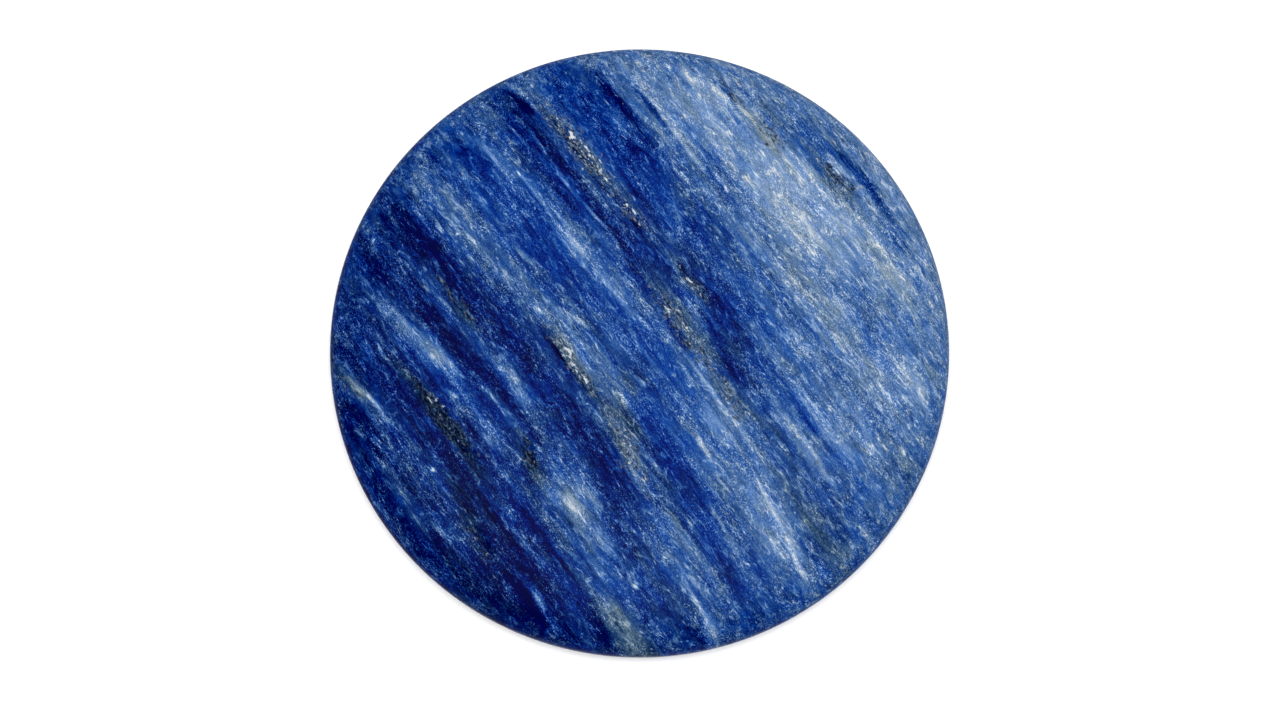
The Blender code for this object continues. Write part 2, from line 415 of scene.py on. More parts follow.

# Thin light lines, small bright spots and thin dark lines, in the same terms
LIGHT_MARKS = (
    (14, 40.8, 5, 0.4, 0, 25),
    (-19.5, 34.7, 2.5, 0.4, 10, 60),
    (24, 29.3, 3.5, 0.35, 0, 45),
    (30.5, 29.4, 3.5, 0.3, 0, 30),
    (-25, 24.3, 9.5, 0.35, -3, 45),
    (-18, 24.1, 2.5, 0.5, -3, 40),
    (27.3, 23.2, 1.5, 0.35, 0, 60),
    (34, 22.5, 0.9, 0.5, 0, 70),
    (18.5, 18.5, 2, 0.35, 5, 45),
    (21, 15.5, 4.5, 0.35, 0, 40),
    (-14.5, 15.2, 2.8, 0.3, -6, 40),
    (-10.5, 13.9, 2.8, 0.3, 6, 45),
    (31.5, 11, 2.6, 0.45, 0, 40),
    (-33.5, 7.4, 4.4, 0.3, -6, 50),
    (-27, 6.7, 4.2, 0.3, -4, 50),
    (-20.2, 7.1, 3.8, 0.35, 3, 70),
    (-15, 7, 3.5, 0.3, -4, 45),
    (-36.5, 5.7, 3.8, 0.3, 3, 40),
    (11.5, 4.7, 7, 0.3, -4, 40),
    (7.5, 3.6, 3, 0.3, -5, 45),
    (-3, 3.1, 2.8, 0.3, 5, 45),
    (-18, 2.2, 3.6, 0.6, 0, 45),
    (-29, 2.3, 5, 0.3, 0, 30),
    (-10, 2.3, 5, 0.35, 2, 45),
    (28, 2, 5.4, 0.4, -10, 45),
    (-39.5, 1.5, 1, 0.4, 0, 60),
    (-37, 0.7, 3, 0.35, -10, 45),
    (37.5, 0.4, 5.5, 0.6, -8, 45),
    (16.5, -0.9, 2.8, 0.35, -8, 50),
    (4, -2.3, 0.6, 0.5, -50, 60),
    (-14.5, -3.4, 1.2, 0.3, 5, 50),
    (-10.5, -3.3, 1.6, 0.25, 6, 45),
    (-37, -4, 2.5, 0.5, 0, 35),
    (-9.3, -4.4, 3, 0.42, 15, 80),
    (-21.5, -4.8, 2.4, 0.45, 4, 45),
    (-9.5, -5.3, 1.8, 0.3, 2, 50),
    (-11.6, -5.5, 1.2, 0.35, -20, 45),
    (26, -5.4, 3.4, 0.35, -6, 45),
    (4, -6.25, 1.8, 0.3, 0, 70),
    (-33, -7.5, 2, 0.3, 5, 45),
    (15, -8.2, 2, 0.3, -12, 45),
    (-32.2, -9.2, 1.8, 0.4, 0, 60),
    (-28.3, -9.3, 1.2, 0.35, 3, 60),
    (13.5, -11.1, 4, 0.4, -14, 55),
    (10, -11.2, 8, 0.3, -9, 35),
    (-26, -11, 1, 0.4, 0, 50),
    (-18, -11.2, 1, 0.4, 0, 60),
    (-32.5, -11.8, 1.5, 0.4, -8, 65),
    (31.5, -13.5, 1.8, 0.55, 0, 45),
    (34.5, -14.8, 8, 0.35, -4, 40),
    (-21, -16.2, 4.2, 0.3, 0, 45),
    (-8, -16.5, 2, 0.6, 0, 40),
    (-22.5, -18, 2.6, 0.35, 0, 40),
    (-37, -20.2, 0.7, 0.45, 0, 90),
    (26.7, -20.5, 0.55, 0.5, 0, 120),
    (-7, -20.7, 3, 0.25, 0, 45),
    (12, -20.8, 2.6, 1.2, -5, 45),
    (2, -23.1, 1, 0.35, 0, 60),
    (21, -23.5, 6, 0.5, 0, 30),
    (-17.5, -24, 0.6, 0.45, 0, 60),
    (-32.5, -24.8, 1.8, 0.35, -6, 45),
    (-2.8, -25, 1.4, 0.45, 0, 50),
    (-11, -25.2, 1.1, 0.45, 0, 60),
    (22.3, -25.5, 0.45, 0.45, 0, 80),
    (-27.5, -25.7, 1.6, 0.45, 0, 50),
    (28.5, -25.8, 0.6, 0.45, 0, 60),
    (-21.5, -27.8, 0.6, 0.4, 0, 60),
    (7.5, -28.8, 2.6, 0.5, -5, 45),
    (20, -28.5, 3, 0.4, 0, 30),
    (12.5, -29.5, 2.6, 0.4, 0, 35),
    (-26.2, -32.5, 1.4, 0.3, 0, 40),
    (20, -32.5, 2, 0.55, 0, 40),
    (-4.3, -33.8, 0.45, 0.4, 0, 120),
    (-17.5, -34.5, 2.6, 0.45, 2, 55),
    (3, -38, 2.2, 0.35, 10, 40),
    (-14.8, -38.5, 1.4, 0.35, 0, 50),
    (-4, -39, 2.2, 0.35, 0, 35),
)
DARK_MARKS = (
    (-4, 37.8, 4.4, 0.55, 0, -35),
    (-23.5, 34.3, 3.8, 0.55, -3, -45),
    (-30.5, 29.3, 0.9, 0.55, 0, -40),
    (23, 13.3, 3.2, 0.35, 0, -30),
    (-23.5, 10.6, 3.8, 0.3, 2, -60),
    (9.5, 8.9, 3, 0.6, -5, -40),
    (-40, 7.8, 0.9, 0.65, 0, -40),
    (-26, 0.7, 1.4, 0.45, 0, -40),
    (-22.5, 0.6, 0.8, 0.4, 0, -40),
    (-8.7, -5.2, 1.1, 0.3, 8, -45),
    (-7, -9.5, 5.4, 0.45, 0, -40),
    (-23.2, -23.3, 2, 0.3, 8, -40),
)

# Where the blue is stronger than usual, and where it is greyer, in the same terms. The strengths are
# steps between blue and red.
VIVID_PATCHES = (
    (-19, 32.2, 6, 1.3, -3, 14),
    (20, 28, 6.5, 1.8, 0, 18),
    (-24, 26.3, 6, 1.3, 0, 12),
    (5, 17, 18, 4, 0, 12),
    (-28, 16.5, 26, 5, 1, 28),
    (24, 14.5, 16, 2.2, 3, 14),
    (17, 9, 5, 1.2, 0, 12),
    (-29, 6.5, 16, 2.6, 0, 14),
    (0, 1.5, 22, 4, 4, 18),
    (14, 1.5, 8, 2, -5, 10),
    (-28, -1, 26, 6.5, 3, 22),
    (12.5, -4.5, 12, 3.2, -2, 26),
    (26, -7.5, 9, 2, -4, 18),
    (24, -22, 6, 2, -5, 12),
    (-12, -24.5, 13, 2.4, 8, 20),
    (8, -27.5, 8, 2, -5, 10),
    (21, -32.8, 6, 1.6, 0, 10),
)
GREY_PATCHES = (
    (-3, 38.4, 10, 2.4, 0, -22),
    (-19, 37.8, 6, 1.4, 0, -20),
    (12, 36.7, 10, 2.2, 0, -20),
    (-16, 34.7, 9, 1.9, 0, -34),
    (-2, 29, 10, 6, 0, -8),
    (-26.5, 28.4, 6, 1.2, 0, -16),
    (10, 25.5, 22, 2.2, 0, -10),
    (36, 21, 10, 4, 0, -12),
    (-15, 18.8, 5, 1.6, 0, -26),
    (-5, 12.5, 8, 1.6, 0, -24),
    (-28, 11.3, 16, 2, 0, -30),
    (6, 8.6, 5, 1.4, 0, -12),
    (0, 8, 13, 1.8, -3, -28),
    (24, 8, 10, 2.5, 0, -8),
    (13.5, 6.6, 7, 2, 8, -24),
    (36, 5.5, 14, 2.8, 2, -30),
    (3, -4, 5, 1.4, -8, -20),
    (6, -7.5, 8, 2, -8, -36),
    (-3, -8.6, 11, 1.7, -2, -48),
    (9, -10, 8, 1.4, -4, -30),
    (20, -10, 8, 1.4, -5, -14),
    (-26, -10, 7, 1.2, 0, -12),
    (-30, -16.5, 12, 1.5, 0, -10),
    (-19, -16.8, 5, 1.5, 0, -26),
    (33, -17.5, 8, 1.6, 6, -10),
    (12, -21, 7, 2.2, -15, -18),
    (4, -22.2, 7, 1.8, -14, -32),
    (14, -25, 5, 1.5, 0, -12),
    (33, -25, 11, 2.8, 6, -48),
    (-10, -28.5, 17, 1.7, 0, -54),
    (2, -32, 9, 3.5, -10, -22),
    (8, -34.5, 9, 2, 0, -20),
    (-22, -35.3, 7, 1.4, 0, -26),
    (14, -38.5, 10, 4, 0, -18),
    (-4, -38.5, 10, 1.6, 0, -10),
)

# The stone's mean tone at its middle, how much it gains per millimetre across the grain, and how many
# times their given strength bands and marks have. The gain across the grain is painted light: lighter
# tone with a painted soft reflection towards the far right, and painted shade towards the near left.
MIDDLE_TONE = 62
PAINTED_LIGHT_RISE = 1.22
BAND_GAIN = 1.18

# How crusty seams look: how much of a grey film they have, how light it is from 0, black, to 1, cream,
# and how many cream grains, each from 0 to 1
CRUSTS = {
    "far_rim_crust": (0.75, 0.14, 0.4),
    "far_tan_crust": (0.6, 0.34, 0.7),
    "far_dark_line": (0.6, 0.3, 0.3),
    "tan_seam": (0.6, 0.38, 0.9),
    "tan_seam_tail": (0.35, 0.36, 0.8),
    "cream_grains": (0.5, 0.3, 0.8),
    "grey_seam": (0.65, 0.33, 0.65),
    "grey_seam_end": (0.6, 0.3, 0.65),
    "middle_seam": (0.65, 0.38, 0.9),
    "middle_seam_end": (0.6, 0.33, 0.8),
    "left_crust": (0.6, 0.2, 0.4),
    "black_notch": (0.9, 0.07, 0.5),
    "black_crust": (1.0, 0.1, 0.45),
    "ringed_patch": (0.5, 0.38, 0.5),
    "near_seam": (0.6, 0.2, 0.45),
}

# How far a crust reaches each way from its seam's middle, as shares of the seam's length and width, and
# the least film that has a tone of its own
CRUST_LENGTH = 0.62
CRUST_WIDTH = 1.0
LEAST_FILM = 0.01

# Single cream grains and lumps where the photo shows them, in the same terms as bands, with shares of
# full cream as their strengths
CREAM_GRAINS = (
    (-14, 33.2, 1.1, 0.5, 0, 0.8),
    (-10.5, 33.6, 0.8, 0.4, 0, 0.7),
    (-14.3, 13, 0.6, 0.5, 80, 0.7),
    (-29.4, 12.5, 0.7, 0.4, 10, 0.9),
    (-3.9, 12.4, 1.0, 0.35, 0, 1.0),
    (-32, 12, 0.9, 0.65, 0, 0.9),
    (-27.8, 12.1, 0.7, 0.4, 0, 0.8),
    (-18.6, 12.1, 0.6, 0.4, 0, 1.2),
    (-17, 12.2, 1.1, 0.25, 0, 0.8),
    (-23.5, 11.8, 1.2, 0.35, -12, 1.0),
    (-25.3, 11.9, 0.5, 0.5, 0, 0.7),
    (-18.5, 11.6, 0.6, 0.25, 0, 1.1),
    (-33.2, 10.4, 0.6, 0.25, 80, 0.9),
    (-22.4, 10.6, 0.8, 0.3, 0, 0.9),
    (-21.2, 10.5, 0.7, 0.4, -15, 1.0),
    (-30.5, 9.8, 1.2, 0.25, 0, 0.8),
    (-28.7, 9.8, 0.5, 0.4, 0, 0.9),
    (-26.5, 9.8, 0.9, 0.4, -30, 0.9),
    (-34.8, 9.2, 0.6, 0.3, 0, 0.8),
    (1.4, 7.6, 0.8, 0.35, 0, 0.8),
    (-2.1, 7.1, 0.9, 0.3, 0, 0.9),
    (-1.7, 6.3, 0.3, 0.6, 0, 0.8),
    (-6.3, -7.8, 1.3, 0.55, -8, 0.9),
    (-4.3, -8.6, 0.8, 0.4, 0, 0.9),
    (-1, -8.7, 0.6, 0.4, 0, 0.8),
    (10, -8.4, 0.7, 0.5, 0, 0.6),
    (5, -9.6, 1.2, 0.4, -20, 0.7),
    (15.3, -10.5, 0.6, 0.6, 0, 0.8),
    (12.6, -11, 1.8, 0.3, -10, 0.7),
    (5.6, -22.3, 0.8, 0.35, 20, 0.7),
    (2.4, -23.1, 1.3, 0.4, 0, 0.9),
    (-12.6, -27.6, 1.3, 0.8, 10, 0.75),
    (-11, -27.2, 0.6, 0.4, 10, 1.2),
    (-21.4, -27.9, 0.6, 0.35, 0, 1.1),
    (-20.5, -35.4, 1.0, 0.4, 0, 0.6),
)

# The share of each oval that has its full strength
BAND_CORE = 0.2
MARK_CORE = 0.45
CREAM_CORE = 0.3

# Steps between one row of a noise and the next, so that no two of them look alike
NOISE_STEPS = (17.3, 9.1, 5.7)
FLECK_STEPS = (3.7, 5.9, 0)

# The stone's own streaks, coarse to fine: length and width in millimetres, then strength in tones
COARSE_ROW = 1
COARSE_STREAKS = (
    (17.0, 1.5, 44),
    (7.5, 0.9, 48),
    (3.6, 0.58, 52),
)
FINE_ROW = 7
FINE_STREAKS = (
    (2.0, 0.4, 40),
    (0.8, 0.2, 44),
    (0.24, 0.11, 136),
)

# How much stronger a light streak is, and weaker a dark one, for each of its tones
LIGHT_BIAS = 0.012

# Scattered light strokes and grains. For each kind: the length and width of the cell that one has to
# itself in millimetres, its turn in degrees, the share of cells with one, its thickness as a share of
# the cell, and its strength in tones. The core is the share of its thickness at full strength.
FLECKS = {
    "long_strokes": (5.0, 0.8, 3, 0.28, 0.26, 88),
    "slanted_strokes": (2.4, 0.52, -9, 0.26, 0.3, 84),
    "rising_strokes": (2.6, 0.52, 12, 0.2, 0.3, 88),
    "grains": (0.8, 0.5, 0, 0.14, 0.34, 88),
}
FLECK_CORE = 0.3

# Thin curling lines, where a noise crosses its mean: length and width of the noise's spots in
# millimetres, how thin a line is, and its strength in tones. They show in patches.
WISP_ROW = 61
WISPS = (
    (3.6, 0.9, 0.06, 60),
    (1.7, 0.66, 0.09, 52),
)
WISP_PATCH_ROW = 66
WISP_PATCH_SIZE = (2.0, 1.0)
WISP_PATCH_RANGE = (0.5, 0.7)

# Other noises of the material: length and width of their spots in millimetres, row, number of finer
# sizes and how strong those are
RIPPLE_SPOTS = (3.0, 1.0, 22, 1.0, 0.5)
BUSY_SPOTS = (8.0, 2.2, 19, 0.0)
HUE_SPOTS = (4.0, 1.2, 41, 1.0)
FILM_SPOTS = (1.3, 0.55, 33, 2.0, 0.7)
FILM_TONE_SPOTS = (0.6, 0.33, 31, 1.0, 0.6)
CREAM_SPOTS = (0.66, 0.34, 35, 1.0, 0.6)
POLISH_SPOTS = (1.4, 0.5, 51, 2.0, 0.6)

# What soft steps make of a noise or a share: where it begins and ends to change, and both results
BUSY_RANGE = (0.3, 0.7, 0.65, 1.35)
FILM_PATCH_RANGE = (0.3, 0.7, -0.8, 0.4)
FILM_RANGE = (0.1, 0.8, 0.0, 0.92)
FILM_TONE_RANGE = (0.28, 0.72, -58, 70)
CREAM_RANGE = (0.74, 0.88, 0.0, 0.92)
CREAM_TONE_RANGE = (0.72, 1.02, 0, WHITE)
ROUGHNESS_RANGE = (0.0, 1.0, 0.25, 0.6)

# How far the finest ripple pushes along and across the grain, in millimetres, how far the blue changes
# between spots, and how much a placed cream grain raises the noise that makes grains
RIPPLE_ALONG = 0.8
RIPPLE_ACROSS = 0.35
HUE_SPREAD = 36
GRAIN_LIFT = 0.26

# The polish: its faint unevenness, its refraction and how strongly it reflects
BUMP_STRENGTH = 0.25
BUMP_DEPTH = 0.1 * MM
REFRACTION = 1.45
REFLECTION = 0.01

# Stops of the stone's colours, from darkest to lightest: a tone, then the colour as it looks in the
# photo's light, once where the blue is strongest and once where it is greyest. Each set belongs to a
# step between blue and red.
VIVID_STEP = 30
VIVID_BLUES = (
    (0, (0, 2, 80)),
    (10, (0, 11, 99)),
    (35, (0, 36, 130)),
    (65, (6, 65, 156)),
    (95, (44, 96, 172)),
    (130, (86, 130, 196)),
    (175, (138, 172, 222)),
    (255, (232, 244, 252)),
)
GREY_STEP = -48
GREY_BLUES = (
    (0, (0, 2, 44)),
    (10, (0, 10, 62)),
    (35, (10, 42, 86)),
    (65, (36, 71, 112)),
    (95, (76, 103, 130)),
    (130, (114, 139, 160)),
    (175, (162, 180, 192)),
    (255, (246, 244, 236)),
)

# Stops of the film's colours and of the cream grains' colours, in the same terms
CRUST_COLOURS = (
    (0, (2, 6, 34)),
    (40, (20, 34, 58)),
    (80, (60, 76, 98)),
    (120, (102, 118, 136)),
    (165, (144, 156, 168)),
    (255, (226, 234, 240)),
)
CREAMS = (
    (0, (78, 106, 144)),
    (70, (120, 139, 162)),
    (160, (184, 195, 202)),
    (255, (238, 244, 248)),
)

# Sockets of a node that blends two colours
MIX_SHARE = 0
MIX_FIRST = 6
MIX_SECOND = 7
MIX_RESULT = 2

# The light falls on the stone this much stronger than a white surface at full white needs.
LIGHT_GAIN = 1.7

# Square lamps round the disc: azimuth in degrees and power in watts, then what they share
LAMPS = {
    "light_far_right": (45, 2.9),
    "light_far_left": (135, 2.7),
    "light_near_left": (225, 4.2),
    "light_near_right": (315, 4.4),
}
LAMP_ELEVATION = math.radians(73)
LAMP_DISTANCE = 0.9
LAMP_SIZE = 0.5

# The pale surround is dimmer overhead: the heights of direction between which it dims, from 0, level,
# to 1, upright, then its strength at both.
SURROUND_RANGE = (0.2, 0.7, 0.15, 0.01)

# The floor's half width in metres, its colour and its roughness
FLOOR_REACH = 3.0
FLOOR_COLOUR = (0.94, 0.94, 0.94, 1)
FLOOR_ROUGHNESS = 0.9

# The photo's framing, in its own pixels, and the camera that gives it
FRAME_WIDTH = 1280
FRAME_HEIGHT = 720
DISC_CENTRE_X = 639.6
DISC_CENTRE_Y = 353.11
DISC_WIDTH = 618.45
CAMERA_ELEVATION = math.radians(78.85)
# The middle of the outline shows this much nearer the viewer than the disc's own middle.
OUTLINE_DROP = 0.7 * MM
LENS = 85.0
SENSOR = 36.0


def crown_height(radius):
    """Height of the domed face above the back, at this distance from the middle."""
    share = min(radius / RADIUS, 1.0)
    rise = (1 - share**CROWN_POWER) ** (1 / CROWN_POWER)
    return THICKNESS * (GIRDLE_SHARE + (1 - GIRDLE_SHARE) * rise)


def unevenness(row, place):
    """A smooth number from about -1 to 1 that changes along a seam. Each row of them is different."""
    return noise.noise(Vector((place * CHANGES / 2, ROW_STEP * row, UNEVEN_LEVEL))) * UNEVEN_GAIN


def turned(along, across, turn):
    """Ways along and across the grain, as seen from axes turned by these degrees."""
    turn = math.radians(turn)
    forward = along * math.cos(turn) + across * math.sin(turn)
    sideways = across * math.cos(turn) - along * math.sin(turn)
    return forward, sideways


def seam_depth(row, sizes, along, across):
    """How deep one seam lies at each place, in millimetres, given in millimetres along and across."""
    middle_along, middle_across, length, width, depth, turn = sizes
    forward, sideways = turned(along - middle_along, across - middle_across, turn)
    place = forward / (length / 2)
    sunk = np.zeros(len(along))
    for index in np.nonzero((abs(place) < 1) & (abs(sideways) <= width))[0]:
        at = float(place[index])
        taper = math.sqrt(1 - at**2)
        half_width = width / 2 * taper * (1 + UNEVEN_WIDTH * unevenness(row, at))
        deepest = depth * taper * (1 + UNEVEN_DEPTH * unevenness(row + DEPTH_ROW, at))
        drift = width * WANDER * unevenness(row + WANDER_ROW, at) * taper
        side = (float(sideways[index]) - drift) / half_width
        if abs(side) < 1:
            spot = Vector((along[index] * LUMPS_ALONG, across[index] * LUMPS_ACROSS, row))
            lumps = 1 + LUMPS_SHARE * noise.fractal(spot, *LUMPS_FRACTAL)
            sunk[index] = deepest * math.sqrt(1 - side**2) * lumps
    return sunk


def relief(along, across):
    """How far the surface lies under the polish's even form at each place, in millimetres."""
    sunk = np.zeros(len(along))
    for row, sizes in enumerate(SEAMS.values(), start=1):
        sunk = np.maximum(sunk, seam_depth(row, sizes, along, across))
    for index, (forward, sideways) in enumerate(zip(along, across)):
        spot = Vector((forward / GROOVE_LENGTH, sideways / GROOVE_WIDTH, GROOVE_LEVEL))
        sunk[index] += GROOVE_DEPTH * max(0.0, noise.noise(spot))
    return sunk


def even_radii(count):
    """Radii of rings from the middle to the girdle, evenly spaced over the curved face."""
    turn = np.linspace(0, math.pi / 2, CURVE_STEPS + 1)
    radius = RADIUS * np.sin(turn) ** (2 / CROWN_POWER)
    height = THICKNESS * (1 - GIRDLE_SHARE) * np.cos(turn) ** (2 / CROWN_POWER)
    steps = np.hypot(np.diff(radius), np.diff(height))
    run = np.concatenate([[0], np.cumsum(steps)])
    return np.interp(np.linspace(0, run[-1], count), run, radius)


def round_grid(cells_along, cells_across):
    """Shares of the radius and angles of a round grid's points, row by row across the grain."""
    along, across = np.meshgrid(
        np.linspace(-1, 1, cells_along + 1), np.linspace(-1, 1, cells_across + 1)
    )
    along, across = along.ravel(), across.ravel()
    share = np.maximum(abs(along), abs(across))
    wide = abs(along) > abs(across)
    shorter = np.where(wide, across, along)
    longer = np.where(wide, along, across)
    lean = math.pi / 4 * shorter / np.where(longer == 0, 1, longer)
    angle = np.where(wide, lean, math.pi / 2 - lean) + np.where(longer < 0, math.pi, 0)
    return share, angle


def grid_faces(cells_along, cells_across, start=0, flip=False):
    """The four-sided faces of a grid whose points begin at start."""
    step = cells_along + 1
    faces = []
    for row in range(cells_across):
        for column in range(cells_along):
            corner = start + row * step + column
            face = (corner, corner + 1, corner + 1 + step, corner + step)
            faces.append(face[::-1] if flip else face)
    return faces


def grid_rim(cells_along, cells_across, start=0):
    """The indices of a grid's outermost points, in order round the disc."""
    step = cells_along + 1
    last_row = cells_across * step
    near = list(range(0, cells_along))
    right = list(range(cells_along, last_row + cells_along, step))
    far = list(range(last_row + cells_along, last_row, -1))
    left = list(range(last_row, 0, -step))
    return [start + index for index in near + right + far + left]


def upright(along, across):
    """X and Y of ways along and across the grain."""
    x = along * math.cos(GRAIN_ANGLE) + across * math.sin(GRAIN_ANGLE)
    y = across * math.cos(GRAIN_ANGLE) - along * math.sin(GRAIN_ANGLE)
    return x, y


def face_points():
    """The points of the domed face, with its relief, as rows of x, y and z."""
    share, angle = round_grid(CELLS_ALONG, CELLS_ACROSS)
    rings = np.linspace(0, 1, RING_STEPS + 1)
    radius = np.interp(share, rings, even_radii(len(rings)))
    along = radius * np.cos(angle)
    across = radius * np.sin(angle)
    sunk = relief(along / MM, across / MM) * MM * (share < RELIEF_SHARE)
    height = np.array([crown_height(reach) for reach in radius])
    return np.stack([*upright(along, across), height - sunk], axis=1)


def add_edge(points, faces, ring):
    """Adds the rounded edge below the face's rim, and gives back the ring that it ends in."""
    rim = points[0][ring]
    tuck = RADIUS * (1 - BACK_SHARE)
    start = len(points[0])
    for level in range(1, UNDER_RINGS + 1):
        turn = math.radians(90) * level / UNDER_RINGS
        made = rim * (1 - tuck * (1 - math.cos(turn)) / RADIUS)
        made[:, 2] = THICKNESS * GIRDLE_SHARE * (1 - math.sin(turn))
        points.append(made)
        below = list(range(start, start + len(ring)))
        start += len(ring)
        for side in range(len(ring)):
            after = (side + 1) % len(ring)
            faces.append((ring[side], below[side], below[after], ring[after]))
        ring = below
    return ring


def add_back(points, faces, ring):
    """Adds the flat back and joins it to the edge's last ring, which has twice as many points."""
    cells = CELLS_ALONG // 2, CELLS_ACROSS // 2
    share, angle = round_grid(*cells)
    reach = share * RADIUS * BACK_SHARE * (1 - BACK_GAP / cells[1])
    flat = upright(reach * np.cos(angle), reach * np.sin(angle))
    points.append(np.stack([*flat, np.zeros(len(share))], axis=1))
    start = ring[-1] + 1
    faces += grid_faces(*cells, start, flip=True)
    inner = grid_rim(*cells, start)
    for side, near in enumerate(inner):
        far = inner[(side + 1) % len(inner)]
        first, middle, last = [ring[(2 * side + step) % len(ring)] for step in range(3)]
        faces += [(first, near, middle), (near, far, middle), (middle, far, last)]


def stone_surface():
    """(points, faces) of the domed face, the rounded edge under the girdle and the flat back."""
    points = [face_points()]
    faces = grid_faces(CELLS_ALONG, CELLS_ACROSS)
    ring = add_edge(points, faces, grid_rim(CELLS_ALONG, CELLS_ACROSS))
    add_back(points, faces, ring)
    return np.concatenate(points), faces


def pushed(along, across, level, row, length, width, most_along, most_across):
    """Places pushed along and across the grain by noise, by up to about these millimetres."""
    push = np.empty((len(along), 3))
    for index, (forward, sideways, up) in enumerate(zip(along, across, level)):
        spot = Vector((forward / length + row * ROW_STEP, sideways / width, up / width))
        push[index] = noise.noise_vector(spot)
    return along + push[:, 0] * most_along, across + push[:, 1] * most_across


def soft_ovals(along, across, forms, core=BAND_CORE):
    """The sum of soft oval patches at each place. The core of each has its full strength."""
    total = np.zeros(len(along))
    for middle_along, middle_across, half_length, half_width, turn, strength in forms:
        forward, sideways = turned(along - middle_along, across - middle_across, turn)
        reach = np.hypot(forward / half_length, sideways / half_width)
        share = np.clip((1 - reach) / (1 - core), 0, 1)
        total += strength * share**2 * (3 - 2 * share)
    return total


def crust_fields(along, across):
    """(film, its tone, grains) of the crusty seams at each place."""
    film = np.zeros(len(along))
    tone = np.zeros(len(along))
    grains = np.zeros(len(along))
    for name, (film_share, lightness, grain_share) in CRUSTS.items():
        middle_along, middle_across, length, width, _, turn = SEAMS[name]
        reach = (length * CRUST_LENGTH, width * CRUST_WIDTH)
        spot = soft_ovals(along, across, [(middle_along, middle_across, *reach, turn, 1.0)])
        film += spot * film_share
        tone += spot * film_share * lightness * WHITE
        grains += spot * grain_share
    return film, tone / np.maximum(film, LEAST_FILM), grains


def add_fields(mesh, points):
    """Gives the mesh its bands, marks, hues and crusts, which go through the stone in leaning layers, and
    painted light in its tone: lighter towards the far right, with a painted soft reflection there, and
    painted shade towards the near left.
    """
    x, y, z = points.T / MM
    along = x * math.cos(GRAIN_ANGLE) - y * math.sin(GRAIN_ANGLE)
    across = x * math.sin(GRAIN_ANGLE) + y * math.cos(GRAIN_ANGLE)
    across += (THICKNESS / MM - z) * math.sin(DIP)
    along, across = pushed(along, across, z, 1, *RIPPLE)
    film, film_tone, grains = crust_fields(along, across)
    along = along * SEEN_SCALE + SEEN_SHIFT[0]
    across = across * SEEN_SCALE + SEEN_SHIFT[1]
    grains += soft_ovals(along, across, CREAM_GRAINS, CREAM_CORE)
    marks = soft_ovals(along, across, LIGHT_MARKS + DARK_MARKS, MARK_CORE)
    along, across = pushed(along, across, z, 2, *DRIFT)
    bands = soft_ovals(along, across, PALE_BANDS + DARK_BANDS)
    # The rise across the grain is painted light: lighter towards the far right, with a painted soft
    # reflection there, and painted shade towards the near left.
    tone = MIDDLE_TONE + PAINTED_LIGHT_RISE * across + BAND_GAIN * (bands + marks)
    hue = soft_ovals(along, across, VIVID_PATCHES + GREY_PATCHES)
    fields = {"tone": tone, "hue": hue, "film": film, "film_tone": film_tone, "grains": grains}
    for name, values in fields.items():
        field = mesh.attributes.new(name, "FLOAT", "POINT")
        field.data.foreach_set("value", values.astype(np.float32))


def stone_mesh():
    """The whole surface with its fields."""
    points, faces = stone_surface()
    mesh = bpy.data.meshes.new("kyanite_stone")
    mesh.from_pydata(points.tolist(), [], faces)
    mesh.update()
    add_fields(mesh, points)
    return mesh


def as_light(part):
    """One part of a colour, from 0 to 1 as it looks, as a share of light. This is the usual sRGB curve."""
    return part / 12.92 if part <= 0.04045 else ((part + 0.055) / 1.055) ** 2.4


def as_linear(colour):
    """A colour as it looks, as the linear colour of a surface in this scene's light."""
    return (*[as_light(part / WHITE) / LIGHT_GAIN for part in colour], 1.0)


